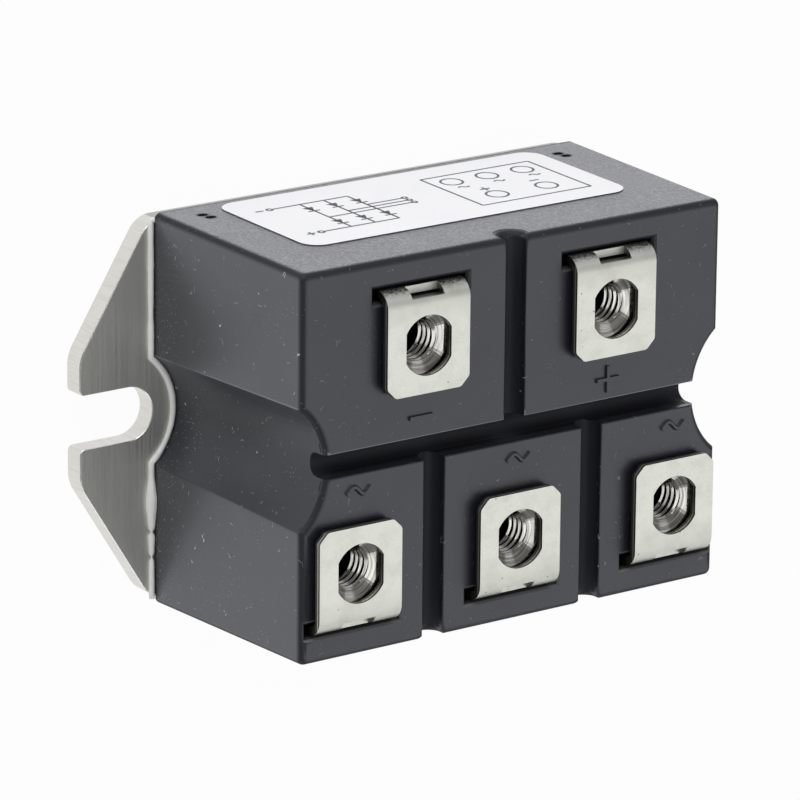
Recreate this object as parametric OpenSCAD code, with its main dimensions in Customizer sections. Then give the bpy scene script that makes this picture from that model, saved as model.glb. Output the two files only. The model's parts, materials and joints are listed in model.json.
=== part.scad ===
// Three-phase bridge rectifier module: a moulded housing glued on a plated copper base plate, with five
// bent screw terminals over captive nuts, and the soldered diode bridge inside.
// Millimetres. The origin is the centre of the base plate's underside, X runs along the plate,
// +Y points to the label face and the two DC terminals, and +Z out of the terminal face.

/* [Base plate] */
// Length over both ears
plate_l = 72; // [68:0.5:84]
// Distance of the long edges inside the sides of the housing
plate_inset = 0.7; // [0.1:0.05:1.5]
// Thickness of the plate
plate_t = 2.5; // [1.5:0.1:4]
// Width of the flat end of each ear
ear_w = 13.7; // [10:0.1:20]
// Full width of the plate beyond each end of the housing
shoulder = 0.5; // [0.2:0.1:1.5]
// Width of the open screw slots
screw_slot_w = 5.8; // [4.5:0.1:7]
// Distance between the centres of the two screw slots
screw_spacing = 60; // [58:0.5:64]
// Corner radius at the mouth of the screw slots
mouth_r = 0.6; // [0.2:0.1:1.5]

/* [Housing] */
// Length at the foot
housing_l = 54; // [50:0.5:60]
// Width at the foot
housing_w = 42.4; // [40:0.2:50]
// Height from the foot to the terminal face
housing_h = 26.2; // [24:0.2:34]
// How far each end leans in at the top
draft_x = 0.46; // [0:0.02:0.8]
// How far each long side leans in at the top
draft_y = 0.5; // [0:0.02:1]
// Radius of the outer edges
edge_r = 0.8; // [0.3:0.1:1.5]
// Thickness of the side walls
wall = 2.4; // [1.6:0.1:3]
// Height of the hollow over the base plate
cavity_h = 11.2; // [9:0.2:13]
// Thickness of the sealing bead under the housing
seal_t = 0.3; // [0.1:0.05:0.6]
// How far the sealing bead stays inside the edges
seal_inset = 0.1; // [0:0.05:0.4]

/* [End recesses] */
// Radius of the screw recess at the foot
recess_r = 7.7; // [6:0.1:9]
// Extra radius of the recess at the terminal face
recess_flare = 0.8; // [0:0.1:1.5]
// Distance of the recess centre beyond the end of the housing
recess_out = 5; // [4:0.1:7]

/* [Creepage grooves] */
// Width of all grooves
groove_w = 2.55; // [2:0.05:3.2]
// Depth of the groove between the DC row and the AC row
row_groove_d = 2.8; // [1.5:0.1:4]
// Depth of the grooves between the terminals of one row
cross_groove_d = 2.1; // [1.2:0.1:4]
// Corner radius of the groove floors
floor_r = 1.2; // [0.3:0.05:1.2]
// Rounding of the groove lips
lip_r = 0.2; // [0.1:0.05:0.4]

/* [Terminals] */
// Width of the terminal strips
strip_w = 10.2; // [8:0.1:11]
// Thickness of the terminal strips
strip_t = 0.8; // [0.5:0.1:1.2]
// Inner radius of the bends
bend_r = 1; // [0.5:0.1:1.5]
// Length of the tab from its tip to the outside of the bend
tab_l = 11.15; // [10.5:0.05:13]
// Gap between the tab and the terminal face
tab_lift = 0.6; // [0.2:0.1:1.2]
// Chamfer at the corners of the tip
tip_chamfer = 1.05; // [0.3:0.05:2]
// Diameter of the round part of the screw hole
hole_d = 6.4; // [5.6:0.1:7]
// Distance between the two flats of the screw hole
hole_flat = 5.6; // [5.2:0.1:6]
// Distance from the tip to the centre of the screw hole
hole_in = 5.05; // [4.5:0.05:5.5]
// Width of the window in the bend
window_w = 4; // [2:0.1:6]
// Distance from the outside of the bend to the front edge of the window
window_in = 1.05; // [0.6:0.05:1.5]
// Depth of the window's far edge below the tab
window_drop = 1.55; // [1.2:0.05:2]
// Distance of the DC terminals from the ends of the housing
dc_edge = 15.1; // [13:0.1:16]
// Distance of the outer AC terminals from the ends of the housing
ac_edge = 6.9; // [6.6:0.1:7.5]
// Distance of the strips' outer faces from the long sides of the housing
leg_edge = 3.7; // [3.3:0.1:4.5]
// Width of the narrow leg inside the housing
foot_w = 5; // [3:0.1:6]
// Length of the soldered foot
foot_l = 3; // [2:0.1:3.5]

/* [Terminal slots] */
// Room beside the strip
slot_side = 0.65; // [0.2:0.05:0.8]
// Room between the strip and the slot wall towards the nut
slot_in = 0.35; // [0.15:0.05:0.5]
// Room between the strip and the slot wall towards the long side
slot_out = 0.2; // [0.15:0.05:1]
// Chamfer around the mouth of the slots
slot_lip = 0.45; // [0.1:0.05:0.5]

/* [Nuts] */
// Width across the flats of the captive nuts
nut_af = 8; // [7:0.1:8.4]
// Height of the nuts
nut_h = 4; // [3:0.1:5]
// Diameter of the tapped bore at the thread crests
nut_bore = 4.2; // [3.2:0.1:4.5]
// Diameter of the countersinks of the bore
nut_sink_d = 6.8; // [5:0.1:7]
// Depth of the countersinks
nut_sink = 0.5; // [0.2:0.05:0.8]
// Corner chamfer at the end faces of the nuts
nut_chamfer = 0.35; // [0.1:0.05:0.6]
// Room around the nuts in their pockets
nut_clear = 0.1; // [0.05:0.05:0.2]
// Depth of the nuts' top faces below the terminal face
nut_below = 0.05; // [0:0.05:0.4]
// Diameter of the screw wells under the nuts
well_d = 5.6; // [5.2:0.1:6.4]
// Length of the screw wells
well_l = 8.5; // [4:0.5:9]

/* [Label] */
// Length of the label
label_l = 40.8; // [20:0.2:46]
// Height of the label
label_h = 17.7; // [8:0.1:22]
// Thickness of the label
label_t = 0.1; // [0.05:0.05:0.3]
// Corner radius of the label
label_r = 2.2; // [0.5:0.1:4]
// Distance from the foot of the housing to the label
label_up = 1.1; // [0.3:0.1:4]

/* [Diode bridge] */
// Thickness of the copper under the ceramic
back_copper_t = 0.3; // [0.1:0.05:0.5]
// Thickness of the ceramic
ceramic_t = 0.63; // [0.3:0.01:1]
// Thickness of the copper tracks
track_t = 0.3; // [0.1:0.05:0.5]
// Gap between the hollow's walls and the ceramic
substrate_gap = 0.4; // [0.2:0.1:1]
// Bare edge of the ceramic around the copper
copper_edge = 0.5; // [0.3:0.1:1]
// Gap between neighbouring tracks
track_gap = 0.5; // [0.3:0.1:0.8]
// Width of the minus track's bar across the middle
minus_bar_w = 3.4; // [2.4:0.1:4]
// Width of the minus track's column at the end
minus_column_w = 2; // [1.5:0.1:2.5]
// Side of the square diode chips
chip_w = 6.5; // [5:0.1:7]
// Thickness of the diode chips
chip_t = 0.3; // [0.2:0.05:0.6]
// Bare copper around chips and feet
solder_edge = 0.5; // [0.2:0.1:0.8]
// Width of the copper clips
clip_w = 2.6; // [1.5:0.1:2.8]
// Thickness of the copper clips
clip_t = 0.4; // [0.2:0.05:0.6]
// Length of the clip pads
clip_pad = 2; // [1.5:0.1:2.2]
// Height of the clips over the tracks
clip_h = 2.4; // [1.8:0.1:4]
// Distance of each clip from the middle of its chip
clip_off = 1.75; // [1.6:0.05:1.9]
// Height of the gel over the base plate
gel_h = 8; // [6:0.5:10]

/* [Hidden] */
$fn = 64;
hull_fn = 32;
past = 1;

plate_w = housing_w - 2 * plate_inset;
base_z = plate_t + seal_t;
face_z = base_z + housing_h;
cavity_z = base_z + cavity_h;
recess_x = housing_l / 2 + recess_out;
lip_reach = slot_lip + past;
groove_floor_r = min(floor_r, groove_w / 2 - 0.05);

dc_x = housing_l / 2 - dc_edge;
ac_x = housing_l / 2 - ac_edge;
leg_y = housing_w / 2 - leg_edge;
tip_y = leg_y - tab_l;
hole_y = tip_y + hole_in;
bend_out = bend_r + strip_t;
tab_z = face_z + tab_lift + strip_t;
nut_z = face_z - nut_below - nut_h;

substrate_l = 2 * (recess_x - recess_r - wall - substrate_gap);
substrate_w = housing_w - 2 * (wall + substrate_gap);
back_z = plate_t;
ceramic_z = back_z + back_copper_t;
track_z = ceramic_z + ceramic_t;
solder_z = track_z + track_t;
chip_z = solder_z + chip_t;
copper_x = substrate_l / 2 - copper_edge;
copper_y = substrate_w / 2 - copper_edge;

// The tracks are stacked inwards from the AC feet, so that each part keeps its room
foot_end = leg_y - bend_out - foot_l;
low_chip_y = -foot_end + solder_edge + chip_w / 2;
landing_y = low_chip_y + chip_w / 2 + solder_edge + clip_pad / 2;
ac_inner_y = landing_y + clip_pad / 2 + solder_edge;
bar_y = ac_inner_y + track_gap;
plus_y = bar_y + minus_bar_w + track_gap;
high_chip_y = plus_y + solder_edge + chip_w / 2;
minus_pad_y = foot_end - solder_edge;
minus_pad_x = -dc_x + foot_w / 2 + solder_edge;
ac_track_w = (2 * copper_x - 2 * track_gap) / 3;
ac_track_pitch = ac_track_w + track_gap;
outer_foot_x = copper_x - solder_edge - foot_w / 2;

// Each terminal: centre of the tab in X, row (1 DC, -1 AC), and centre of its foot in X
terminals = [
    [-dc_x, 1, -dc_x],
    [dc_x, 1, dc_x],
    [-ac_x, -1, -outer_foot_x],
    [0, -1, 0],
    [ac_x, -1, outer_foot_x]
];

// Half sizes of the drafted housing at a height
function half_l(z) = housing_l / 2 - draft_x * (z - base_z) / (housing_h - edge_r);
function half_w(z) = housing_w / 2 - draft_y * (z - base_z) / (housing_h - edge_r);
// Radius of the flared end recess at a height
function recess_radius(z) = recess_r + recess_flare * (z - base_z) / housing_h;

// A rectangle given by its low and high corners
module area(low, high) {
    translate(low) square(high - low);
}

module rounded_area(l, w, r) {
    square([l - 2 * r, w], center = true);
    square([l, w - 2 * r], center = true);
    for (sx = [-1, 1], sy = [-1, 1]) translate([sx * (l / 2 - r), sy * (w / 2 - r)]) circle(r);
}

// A profile drawn in Y and Z, as thick as w along X and centred on x
module along_x(x, w) {
    translate([x - w / 2, 0, 0]) rotate([90, 0, 90]) linear_extrude(w) children();
}

// Base plate

module screw_slot() {
    length = plate_l / 2 - screw_spacing / 2;
    circle(d = screw_slot_w);
    area([0, -screw_slot_w / 2], [length + past, screw_slot_w / 2]);
    for (s = [-1, 1]) translate([length - mouth_r, s * (screw_slot_w / 2 + mouth_r)]) difference() {
        area([0, s > 0 ? -mouth_r : 0], [mouth_r + past, s > 0 ? 0 : mouth_r]);
        circle(mouth_r);
    }
}

module base_plate_outline() {
    end = plate_l / 2;
    side = plate_w / 2;
    full = housing_l / 2 + shoulder;
    polygon([
        [end, -ear_w / 2], [end, ear_w / 2], [full, side], [-full, side],
        [-end, ear_w / 2], [-end, -ear_w / 2], [-full, -side], [full, -side]
    ]);
}

module base_plate() {
    color("#b9b9b4") linear_extrude(plate_t) difference() {
        base_plate_outline();
        for (turn = [0, 180]) rotate(turn) translate([screw_spacing / 2, 0]) screw_slot();
    }
}

// Housing and its sealing bead

// Plan of the hollow over the base plate, which goes round both end recesses
module cavity_outline() {
    inner = [housing_l / 2 - wall, housing_w / 2 - wall];
    difference() {
        area(-inner, inner);
        for (s = [-1, 1]) translate([s * recess_x, 0]) circle(recess_r + wall);
    }
}

module seal_bead() {
    outer = [housing_l / 2 - seal_inset, plate_w / 2 - seal_inset];
    color("#c9cac8") translate([0, 0, plate_t]) linear_extrude(seal_t) difference() {
        area(-outer, outer);
        for (s = [-1, 1]) translate([s * recess_x, 0]) circle(recess_r + seal_inset);
        cavity_outline();
    }
}

// Corner of the terminal face: a quarter-round dome with its rim at the side walls
module corner_dome() {
    rotate_extrude($fn = hull_fn) intersection() {
        circle(edge_r, $fn = hull_fn);
        square(edge_r);
    }
}

// The drafted block starts below the foot and is cut level there
module housing_block() {
    start_z = base_z - past;
    dome_z = face_z - edge_r;
    difference() {
        hull() for (sx = [-1, 1], sy = [-1, 1]) {
            translate([sx * (half_l(start_z) - edge_r), sy * (half_w(start_z) - edge_r), start_z - past])
                cylinder(r = edge_r, h = past, $fn = hull_fn);
            translate([sx * (half_l(dome_z) - edge_r), sy * (half_w(dome_z) - edge_r), dome_z])
                corner_dome();
        }
        translate([-housing_l, -housing_w, base_z - 3 * past]) cube([2 * housing_l, 2 * housing_w, 3 * past]);
    }
}

// Cross-section of a groove below the terminal face, with a round-cornered floor and rounded lips
module groove_section(depth) {
    half = groove_w / 2;
    r = groove_floor_r;
    area([-half, r - depth], [half, past]);
    area([r - half, -depth], [half - r, 0]);
    for (s = [-1, 1]) {
        translate([s * (half - r), r - depth]) circle(r);
        translate([s * (half + lip_r), -lip_r]) difference() {
            area([s > 0 ? -lip_r : 0, 0], [s > 0 ? 0 : lip_r, lip_r + past]);
            circle(lip_r);
        }
    }
}

// A groove along Y from the middle of the terminal face out to one long side
module cross_groove(x, side) {
    length = housing_w / 2 + past;
    translate([x, side > 0 ? length : 0, face_z])
        rotate([90, 0, 0]) linear_extrude(length) groove_section(cross_groove_d);
}

module grooves() {
    translate([-housing_l / 2 - past, 0, face_z])
        rotate([90, 0, 90]) linear_extrude(housing_l + 2 * past) groove_section(row_groove_d);
    cross_groove(0, 1);
    for (s = [-1, 1]) cross_groove(s * ac_x / 2, -1);
}

// Flared recess that clears the screw head at each end
module end_recesses() {
    low_z = base_z - past;
    high_z = face_z + past;
    for (s = [-1, 1]) translate([s * recess_x, 0, low_z])
        cylinder(r1 = recess_radius(low_z), r2 = recess_radius(high_z), h = high_z - low_z);
}

// Side view of the chamfered mouth of a slot, which widens upwards through the terminal face
module slot_lip_side(w) {
    polygon([
        [-w / 2, -slot_lip], [w / 2, -slot_lip], [w / 2 + lip_reach, past], [-w / 2 - lip_reach, past]
    ]);
}

// Slot for the strip, pocket for the nut and well for the screw's end, at one terminal
module terminal_seat(t) {
    slot_w = strip_w + 2 * slot_side;
    slot_d = strip_t + slot_in + slot_out;
    translate([t[0], 0, 0]) mirror([0, t[1] > 0 ? 0 : 1, 0]) {
        translate([0, leg_y + slot_out - slot_d / 2, 0]) {
            translate([0, 0, cavity_z - past]) linear_extrude(face_z + 2 * past - cavity_z)
                square([slot_w, slot_d], center = true);
            translate([0, 0, face_z]) intersection() {
                along_x(0, slot_w + 2 * lip_reach) slot_lip_side(slot_d);
                rotate([90, 0, 0]) linear_extrude(slot_d + 2 * lip_reach, center = true) slot_lip_side(slot_w);
            }
        }
        translate([0, hole_y, nut_z])
            cylinder(d = (nut_af + 2 * nut_clear) / cos(30), h = nut_h + nut_below + past, $fn = 6);
        translate([0, hole_y, nut_z - well_l]) cylinder(d = well_d, h = well_l + past);
    }
}

module housing() {
    color("#4b4c4f") difference() {
        housing_block();
        translate([0, 0, base_z - past]) linear_extrude(cavity_h + past) cavity_outline();
        end_recesses();
        grooves();
        for (t = terminals) terminal_seat(t);
    }
}

// The label lies on the leaning +Y side
module label() {
    lean = atan(draft_y / (housing_h - edge_r));
    color("#f0f0f2") translate([0, housing_w / 2, base_z]) rotate([lean, 0, 0])
        translate([0, label_t, label_up + label_h / 2]) rotate([90, 0, 0])
            linear_extrude(label_t) rounded_area(label_l, label_h, label_r);
}

// Terminals and nuts

// Side view of the upper strip in Y and Z: tab, bend and leg down to a height
module strip_side(bottom_z) {
    area([tip_y, tab_z - strip_t], [leg_y - bend_out, tab_z]);
    translate([leg_y - bend_out, tab_z - bend_out]) intersection() {
        difference() {
            circle(bend_out);
            circle(bend_r);
        }
        square(bend_out);
    }
    area([leg_y - strip_t, bottom_z], [leg_y, tab_z - bend_out]);
}

// Side view of the lower strip: leg, bend and the foot on its track
module foot_side(top_z) {
    area([foot_end, solder_z], [leg_y - bend_out, solder_z + strip_t]);
    translate([leg_y - bend_out, solder_z + bend_out]) intersection() {
        difference() {
            circle(bend_out);
            circle(bend_r);
        }
        translate([0, -bend_out]) square(bend_out);
    }
    area([leg_y - strip_t, solder_z + bend_out], [leg_y, top_z]);
}

// Plan of the strip: the tip has chamfered corners
module strip_plan() {
    half = strip_w / 2;
    polygon([
        [-half, leg_y + past], [-half, tip_y + tip_chamfer], [tip_chamfer - half, tip_y],
        [half - tip_chamfer, tip_y], [half, tip_y + tip_chamfer], [half, leg_y + past]
    ]);
}

module terminal(t) {
    color("#d8d8d2") mirror([0, t[1] > 0 ? 0 : 1, 0]) {
        translate([t[0], 0, 0]) difference() {
            intersection() {
                along_x(0, strip_w) strip_side(cavity_z);
                translate([0, 0, cavity_z - past]) linear_extrude(tab_z) strip_plan();
            }
            translate([0, hole_y, face_z]) intersection() {
                cylinder(d = hole_d, h = tab_z - face_z + past);
                translate([-hole_flat / 2, -hole_d, 0]) cube([hole_flat, 2 * hole_d, tab_z]);
            }
            translate([-window_w / 2, leg_y - window_in, tab_z - window_drop])
                cube([window_w, window_in + past, window_drop + past]);
        }
        along_x(t[2], foot_w) foot_side(cavity_z);
    }
}

// Hexagon nut with chamfered corners and a countersunk bore
module nut(t) {
    corner_r = nut_af / 2 / cos(30);
    flat_r = nut_af / 2;
    drop = nut_chamfer;
    color("#cfcfc9") translate([t[0], t[1] * hole_y, nut_z]) difference() {
        intersection() {
            cylinder(r = corner_r, h = nut_h, $fn = 6);
            rotate_extrude() polygon([
                [0, 0], [flat_r, 0], [corner_r, drop], [corner_r, nut_h - drop], [flat_r, nut_h], [0, nut_h]
            ]);
        }
        translate([0, 0, -past]) cylinder(d = nut_bore, h = nut_h + 2 * past);
        cylinder(d1 = nut_sink_d, d2 = nut_bore, h = nut_sink);
        translate([0, 0, nut_h - nut_sink]) cylinder(d1 = nut_bore, d2 = nut_sink_d, h = nut_sink);
    }
}

// Diode bridge

module substrate_back_copper() {
    color("#b87b4b") translate([0, 0, back_z]) linear_extrude(back_copper_t)
        area([-copper_x, -copper_y], [copper_x, copper_y]);
}

module substrate_ceramic() {
    color("#f2efe6") translate([0, 0, ceramic_z]) linear_extrude(ceramic_t)
        square([substrate_l, substrate_w], center = true);
}

module track() {
    color("#c08552") translate([0, 0, track_z]) linear_extrude(track_t) children();
}

module plus_track() {
    track() {
        area([-copper_x + minus_column_w + track_gap, plus_y], [copper_x, minus_pad_y - track_gap]);
        area([minus_pad_x + track_gap, plus_y], [copper_x, copper_y]);
    }
}

// Bar across the middle, column along one end and the pad under the minus foot
module minus_track() {
    track() {
        area([-copper_x, bar_y], [copper_x, bar_y + minus_bar_w]);
        area([-copper_x, bar_y], [-copper_x + minus_column_w, copper_y]);
        area([-copper_x, minus_pad_y], [minus_pad_x, copper_y]);
    }
}

module ac_track(i) {
    low_x = -copper_x + i * ac_track_pitch;
    track() area([low_x, -copper_y], [low_x + ac_track_w, ac_inner_y]);
}

// Centre of a chip's column in X; chips 0 to 2 lie on the AC tracks, 3 to 5 on the plus track
function chip_x(i) = (i % 3 - 1) * ac_track_pitch;
function chip_y(i) = i < 3 ? low_chip_y : high_chip_y;

module diode_chip(i) {
    color("#5d6068") translate([chip_x(i), chip_y(i), solder_z]) linear_extrude(chip_t)
        square(chip_w, center = true);
}

// Clip from the top of a chip to the next track, beside the clip of the chip across the bar
module chip_clip(i) {
    low = i < 3;
    from_y = chip_y(i);
    to_y = low ? bar_y + minus_bar_w / 2 : landing_y;
    way = low ? 1 : -1;
    rise_y = from_y + way * (clip_pad - clip_t) / 2;
    drop_y = to_y - way * (clip_pad - clip_t) / 2;
    top_z = solder_z + clip_h;
    color("#c98f5c") along_x(chip_x(i) + (low ? 1 : -1) * clip_off, clip_w) {
        area([from_y - clip_pad / 2, chip_z], [from_y + clip_pad / 2, chip_z + clip_t]);
        area([to_y - clip_pad / 2, solder_z], [to_y + clip_pad / 2, solder_z + clip_t]);
        area([rise_y - clip_t / 2, chip_z], [rise_y + clip_t / 2, top_z]);
        area([drop_y - clip_t / 2, solder_z], [drop_y + clip_t / 2, top_z]);
        area(
            [min(rise_y, drop_y) - clip_t / 2, top_z - clip_t],
            [max(rise_y, drop_y) + clip_t / 2, top_z]
        );
    }
}

// Soft gel cast round the bridge and the feet of the terminals
module gel_fill() {
    color("#cfd8d4") difference() {
        translate([0, 0, plate_t]) linear_extrude(gel_h) cavity_outline();
        substrate_back_copper();
        substrate_ceramic();
        plus_track();
        minus_track();
        for (i = [0:2]) ac_track(i);
        for (i = [0:5]) {
            diode_chip(i);
            chip_clip(i);
        }
        for (t = terminals) terminal(t);
    }
}

base_plate();
seal_bead();
housing();
label();
terminal(terminals[0]);  // minus_terminal
terminal(terminals[1]);  // plus_terminal
nut(terminals[0]);  // minus_nut
nut(terminals[1]);  // plus_nut
for (i = [0:2]) {
    terminal(terminals[2 + i]);
    nut(terminals[2 + i]);
    ac_track(i);
}
substrate_back_copper();
substrate_ceramic();
plus_track();
minus_track();
for (i = [0:5]) {
    diode_chip(i);
    chip_clip(i);
}
gel_fill();
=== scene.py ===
import json
import math
from functools import partial

import bmesh
import bpy
from bpy.props import FloatProperty, FloatVectorProperty, IntProperty, PointerProperty
from mathutils import Matrix, Quaternion, Vector, noise


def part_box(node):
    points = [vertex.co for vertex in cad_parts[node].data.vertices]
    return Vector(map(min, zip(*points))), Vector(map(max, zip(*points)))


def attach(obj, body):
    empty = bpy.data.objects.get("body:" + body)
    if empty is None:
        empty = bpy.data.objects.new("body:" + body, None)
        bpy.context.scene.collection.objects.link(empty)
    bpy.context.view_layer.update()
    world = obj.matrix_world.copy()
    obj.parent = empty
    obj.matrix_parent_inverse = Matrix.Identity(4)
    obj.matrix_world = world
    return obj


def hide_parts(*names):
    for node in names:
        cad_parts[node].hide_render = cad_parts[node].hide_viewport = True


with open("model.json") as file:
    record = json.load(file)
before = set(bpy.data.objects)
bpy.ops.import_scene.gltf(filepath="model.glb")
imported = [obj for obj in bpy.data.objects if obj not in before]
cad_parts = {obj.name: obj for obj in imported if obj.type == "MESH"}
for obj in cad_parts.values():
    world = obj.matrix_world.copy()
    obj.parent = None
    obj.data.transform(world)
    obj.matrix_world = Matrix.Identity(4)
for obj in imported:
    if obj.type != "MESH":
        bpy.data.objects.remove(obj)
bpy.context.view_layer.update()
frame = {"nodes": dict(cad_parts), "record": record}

bl_info = {
    "name": "Bridge rectifier module",
    "version": (1, 0, 0),
    "blender": (4, 5, 0),
    "location": "View3D > Sidebar > Rectifier",
    "description": "Dresses the packed bridge rectifier module and sets its studio",
    "category": "Object",
}

MM = 0.001
NODES = frame["nodes"]
TERMINALS = ("minus_terminal", "plus_terminal", "ac_terminal_1", "ac_terminal_2", "ac_terminal_3")
NUTS = ("minus_nut", "plus_nut", "ac_nut_1", "ac_nut_2", "ac_nut_3")
AC_NUTS = NUTS[2:]
FACE_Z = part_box("housing")[1].z
FOOT_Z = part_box("housing")[0].z
HALF_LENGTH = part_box("housing")[1].x
FOOT_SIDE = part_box("housing")[1].y
PLATE_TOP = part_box("base_plate")[1].z
PLATE_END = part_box("base_plate")[1].x
PLATE_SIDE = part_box("base_plate")[1].y
# How far the housing's long sides lean in from the foot to the terminal face
DRAFT = 0.5 * MM
# A slack for telling whether points lie in one plane
SLACK = 0.01 * MM
# The least part of a normal along an axis on a face that counts as square to it
SQUARE = 0.9

# Settings of the nodes that are used most
ADD, SUBTRACT, MULTIPLY, MULTIPLY_ADD, MAXIMUM, ABSOLUTE, LENGTH = (
    {"operation": name}
    for name in ("ADD", "SUBTRACT", "MULTIPLY", "MULTIPLY_ADD", "MAXIMUM", "ABSOLUTE", "LENGTH")
)
CLAMPED = {"use_clamp": True}
OF_COLOURS, OF_NUMBERS = {"data_type": "RGBA"}, {"data_type": "FLOAT"}


def linear(code):
    """An sRGB hex colour as linear red, green, blue and alpha."""
    parts = [int(code[i:i + 2], 16) / 255 for i in (1, 3, 5)]
    return tuple(c / 12.92 if c <= 0.04045 else ((c + 0.055) / 1.055) ** 2.4 for c in parts) + (1.0,)


def colour(name, description, code):
    """A colour property with its default from a hex code."""
    return FloatVectorProperty(
        name=name, description=description, subtype="COLOR", size=4, min=0, max=1, default=linear(code)
    )


def length(name, description, millimetres):
    """A length property with its default in millimetres."""
    return FloatProperty(
        name=name, description=description, unit="LENGTH", precision=5, default=millimetres * MM
    )


def power(name, description, watts):
    """A property for the power of a light."""
    return FloatProperty(name=name, description=description, unit="POWER", default=watts)


class ModuleSizes(bpy.types.PropertyGroup):
    """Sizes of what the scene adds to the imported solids."""

    recess_x: length("Recess centre", "Distance of the screw recesses' axes from the middle", 32.0)
    recess_foot_r: length("Recess foot radius", "Radius of the screw recesses at the foot", 7.7)
    recess_face_r: length("Recess face radius", "Radius of the screw recesses at the terminal face", 8.5)
    rim_r: length("Recess rim", "Rounding where a recess opens in the terminal face", 0.8)
    # Width of the painted highlight along each recess edge
    highlight_w: length("Rubbed line", "Width of the pale line where a recess meets the end face", 0.16)
    sign_length: length("Sign length", "Length of the polarity signs", 2.85)
    sign_stroke: length("Sign stroke", "Width of the strokes of the polarity signs", 0.42)
    sign_height: length("Sign height", "Height of the raised polarity signs", 0.28)
    wave_length: length("Wave length", "Length of the waves of the AC signs", 3.0)
    wave_off: length("Wave offset", "How far right of the screws the AC signs stand", 0.57)
    wave_swing: length("Wave swing", "Half the height of the waves of the AC signs", 0.43)
    wave_tail: FloatProperty(
        name="Wave tail", description="Share of a wave that runs on at both ends", default=0.1
    )
    dc_sign_y: length("DC sign row", "Distance of the DC signs from the middle", 3.5)
    ac_sign_y: length("AC sign row", "Distance of the AC signs from the middle", -3.0)
    pip_depth: length("Pip depth", "Depth of the two pairs of moulding pips", 0.3)
    groove_w: length("Groove", "Width of the creepage grooves", 2.55)
    groove_d: length("Cross groove depth", "Depth of the grooves between the terminals of one row", 2.1)
    groove_floor_r: length("Groove floor", "Corner radius of the groove floors", 1.2)
    mouth_r: length("Groove mouth", "Rounding where a cross groove opens in a long side", 0.7)
    ear_round: length("Ear corners", "Rounding of the corners of the plate's ears", 1.0)
    shoulder_round: length("Shoulder corners", "Rounding of the plate's shoulders", 1.5)
    plate_edge: length("Plate edge", "Rounding of the stamped edges of the plate", 0.16)
    strip_edge: length("Strip edge", "Rounding of the stamped edges of the terminal strips", 0.09)
    strip_corner: length("Strip corners", "Rounding of the corners at the tips of the strips", 0.22)
    thread_pitch: length("Thread pitch", "Distance between the turns of the thread", 0.8)
    thread_root: length("Thread root", "Radius of the thread at its roots", 2.5)
    thread_crest: length("Thread crest", "Radius of the thread at its crests", 2.1)
    sink: length("Countersink", "Depth of the countersinks of the nuts", 0.5)
    sink_r: length("Countersink radius", "Radius of the countersinks of the nuts", 3.4)
    bead_r: length("Bead radius", "Radius of the sealing bead", 0.33)
    bead_out: length("Bead offset", "Distance of the bead's middle from the foot of the housing", 0.32)
    bead_step: length("Bead step", "Distance between the points along the sealing bead", 0.4)
    ink_t: length("Ink", "Thickness of the printed lines", 0.012)
    ink_stroke: length("Ink stroke", "Width of the printed lines", 0.26)


class ModuleColours(bpy.types.PropertyGroup):
    """Colours of the finishes."""

    housing: colour("Housing", "Moulded thermoplastic", "#18191e")
    # Painted glints: the pale colour of the grain's crests on the long sides
    grain: colour("Grain", "Crests of the grain on the long sides", "#6c6c72")
    # Painted highlight: the pale colour on the recess edges and on the row groove's upper lip
    edge_highlight: colour("Scuffed edges", "Rubbed edges beside the recesses and along the row groove", "#7a7a7e")
    shine: colour("Shine", "Tint of the housing's highlights", "#f0f2ff")
    skin: colour("Skin", "Tint of the housing's resin-rich skin", "#f7f8ff")
    # Painted highlight: the pale colour of the slot chamfers
    lip: colour("Slot lips", "Rubbed chamfers of the strips' slots", "#6a6b6f")
    dust: colour("Dust", "Dust and fibres on the housing", "#c9c9c9")
    nickel: colour("Plate nickel", "Brushed nickel of the base plate", "#d8d9d2")
    edge: colour("Plate edge", "Punched edges of the base plate", "#dddbd6")
    # Duller nickel, darkened as painted shade under the housing's overhang
    plate_side_shaded: colour("Plate sides", "Dull nickel of the plate's long sides", "#c2c2c0")
    strip: colour("Strip nickel", "Smooth nickel of the terminal strips", "#ddded6")
    sheared: colour("Sheared edge", "Cut edges of the strips", "#e0ddd2")
    nut: colour("Nut", "Plated steel of the nuts", "#dad8d2")
    silicone: colour("Silicone", "Sealing bead", "#f0f0ee")
    film: colour("Label film", "White film of the label", "#f4f4f7")
    # Painted shade: the dark grey of the label's cut edge stands in for the shadow along its border
    film_edge_shade: colour("Label edge", "Cut edge of the label, grey with dirt", "#4b4b4e")
    ink: colour("Label ink", "Printed lines", "#4a4a4d")
    copper: colour("Copper", "Tracks and clips", "#c9865a")
    alumina: colour("Alumina", "Ceramic of the substrate", "#ece8df")
    silicon: colour("Silicon", "Diode chips", "#6a6d75")
    gel: colour("Gel", "Silicone gel", "#dfe6e3")
    floor: colour("Floor", "Floor of the studio", "#f4f4f4")


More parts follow.
